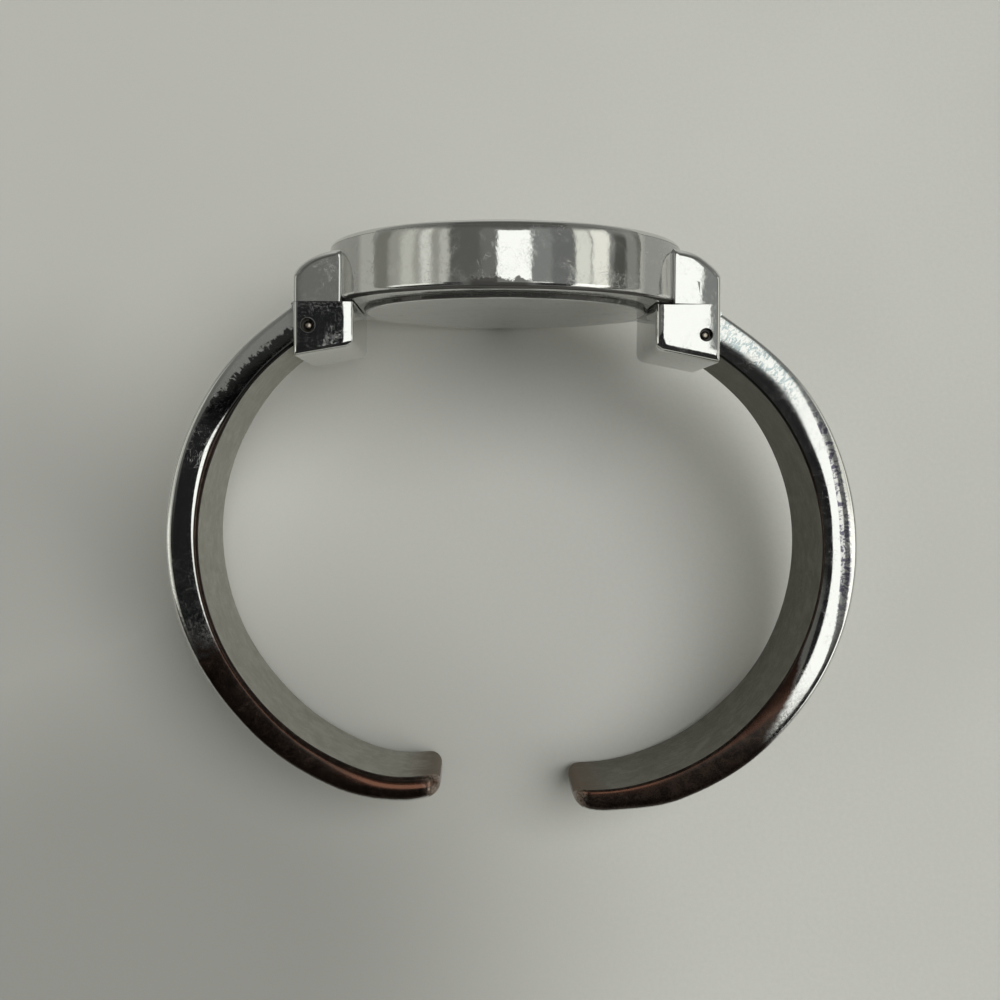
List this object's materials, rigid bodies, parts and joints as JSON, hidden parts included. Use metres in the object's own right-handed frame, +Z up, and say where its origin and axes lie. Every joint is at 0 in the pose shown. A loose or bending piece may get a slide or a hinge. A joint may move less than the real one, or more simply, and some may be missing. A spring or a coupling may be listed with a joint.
{
  "type": "cuff watch",
  "caption": "Rigid cuff wristwatch: round drum case with hooded lugs, sprung hinged half-cuffs open at the back, side crown and a quartz movement.",
  "frame": {"origin": "middle of the bounding box, on the surface that the watch lies on", "axes": "+Z up with the watch lying on its side, +X across the cuff from the 12 o'clock to the 6 o'clock side, +Y roughly where the dial faces, which is tipped up by 15.4 degrees"},
  "size_m": [0.0656, 0.0576, 0.0363],
  "materials": {
    "polished_case": "polished, fine scratches",
    "polished_block": "polished, scuffed",
    "polished_back": "polished, lightly brushed",
    "worn_arm": "polished plating, worn to copper tone at the edges",
    "steel_pin": "turned",
    "spring_steel": "satin",
    "polished_crown": "polished",
    "black_rubber": "matt",
    "clear_glass": "clear, polished",
    "white_nylon": "satin",
    "dial_face": "satin sunray",
    "dial_rim": "satin",
    "polished_marker": "polished",
    "polished_hand": "polished",
    "grey_plastic": "moulded",
    "nickel_plate": "nickel plated",
    "copper_wire": "enamelled copper wire",
    "green_board": "lacquered",
    "steel_can": "satin",
    "black_plastic": "moulded",
    "dark_magnet": "ground",
    "brass_gear": "gilt"
  },
  "bodies": {
    "case": {"battery": "steel_can", "battery_clamp": "spring_steel", "bezel": "polished_case", "case_back": "polished_back", "case_back_gasket": "black_rubber", "case_middle": "polished_case", "chip": "black_plastic", "circuit_board": "green_board", "coil_core": "spring_steel", "coil_winding": "copper_wire", "crown_tube": "steel_pin", "crystal": "clear_glass", "crystal_gasket": "white_nylon", "dial": "dial_face", "dial_ring": "dial_rim", "hinge_block_left": "polished_block", "hinge_block_right": "polished_block", "hinge_pin_left": "steel_pin", "hinge_pin_right": "steel_pin", "hinge_spring_left": "spring_steel", "hinge_spring_right": "spring_steel", "hour_markers": "polished_marker", "main_plate": "nickel_plate", "movement_holder": "grey_plastic", "movement_screws": "spring_steel", "quartz_oscillator": "steel_can", "stator": "spring_steel", "train_bridge": "nickel_plate"},
    "arm_left": {"cuff_arm_left": "worn_arm"},
    "arm_right": {"cuff_arm_right": "worn_arm"},
    "rotor": {"rotor_arbor": "white_nylon", "rotor_magnet": "dark_magnet"},
    "fifth": {"intermediate_wheel": "white_nylon"},
    "seconds": {"seconds_wheel": "brass_gear", "second_hand": "polished_hand"},
    "third": {"third_wheel": "brass_gear"},
    "minutes": {"center_wheel": "brass_gear", "minute_hand": "polished_hand"},
    "motion": {"minute_wheel": "brass_gear"},
    "hours": {"hour_wheel": "brass_gear", "hour_hand": "polished_hand"},
    "clutch": {"clutch_wheel": "spring_steel"},
    "crown": {"crown": "polished_crown", "stem": "spring_steel", "crown_gasket": "black_rubber"},
    "lever": {"setting_lever": "spring_steel"}
  },
  "joints": [
    {"name": "left_arm_hinge", "type": "hinge", "parent": "case", "child": "arm_left", "pos_m": [-0.01898, 0.01655, 0.01786], "axis": [0, 0.2656, -0.9641], "range_deg": [0, 20], "stiffness_Nm_per_rad": 0.06, "springref_deg": -20.05, "deforming": ["hinge_spring_left"]},
    {"name": "right_arm_hinge", "type": "hinge", "parent": "case", "child": "arm_right", "pos_m": [0.01763, 0.01591, 0.01768], "axis": [0, -0.2656, 0.9641], "range_deg": [0, 20], "stiffness_Nm_per_rad": 0.06, "springref_deg": -20.05, "deforming": ["hinge_spring_right"]},
    {"name": "seconds_turn", "type": "hinge", "parent": "case", "child": "seconds", "pos_m": [-0.00075, 0.02247, 0.01949], "axis": [0, 0.9641, 0.2656], "continuous": true},
    {"name": "minutes_turn", "type": "hinge", "parent": "case", "child": "minutes", "pos_m": [-0.00075, 0.02199, 0.01935], "axis": [0, 0.9641, 0.2656], "continuous": true},
    {"name": "hours_turn", "type": "hinge", "parent": "case", "child": "hours", "pos_m": [-0.00075, 0.02199, 0.01935], "axis": [0, 0.9641, 0.2656], "continuous": true},
    {"name": "rotor_turn", "type": "hinge", "parent": "case", "child": "rotor", "pos_m": [-0.00525, 0.02014, 0.02003], "axis": [0, 0.9641, 0.2656], "continuous": true},
    {"name": "fifth_turn", "type": "hinge", "parent": "case", "child": "fifth", "pos_m": [-0.00341, 0.01984, 0.01925], "axis": [0, 0.9641, 0.2656], "continuous": true},
    {"name": "third_turn", "type": "hinge", "parent": "case", "child": "third", "pos_m": [-0.00128, 0.01969, 0.02131], "axis": [0, 0.9641, 0.2656], "continuous": true},
    {"name": "motion_turn", "type": "hinge", "parent": "case", "child": "motion", "pos_m": [0.0008, 0.0219, 0.01742], "axis": [0, 0.9641, 0.2656], "continuous": true},
    {"name": "crown_turn", "type": "hinge", "parent": "case", "child": "clutch", "pos_m": [-0.00075, 0.02196, 0.01457], "axis": [0, 0.2656, -0.9641], "continuous": true},
    {"name": "crown_pull", "type": "slide", "parent": "clutch", "child": "crown", "axis": [0, 0.2656, -0.9641], "range_m": [0, 0.0009]},
    {"name": "lever_turn", "type": "hinge", "parent": "case", "child": "lever", "pos_m": [0.00225, 0.02248, 0.01192], "axis": [0, 0.9641, 0.2656], "range_deg": [-20.5, 0.5]}
  ],
  "couplings": [
    {"joint": "minutes_turn", "follows": "seconds_turn", "ratio": 0.016667},
    {"joint": "hours_turn", "follows": "seconds_turn", "ratio": 0.0013889},
    {"joint": "motion_turn", "follows": "seconds_turn", "ratio": -0.0055556},
    {"joint": "third_turn", "follows": "seconds_turn", "ratio": -0.13333},
    {"joint": "fifth_turn", "follows": "seconds_turn", "ratio": -5},
    {"joint": "rotor_turn", "follows": "seconds_turn", "ratio": 30},
    {"joint": "lever_turn", "follows": "crown_pull", "rad_per_m": -380.6}
  ]
}
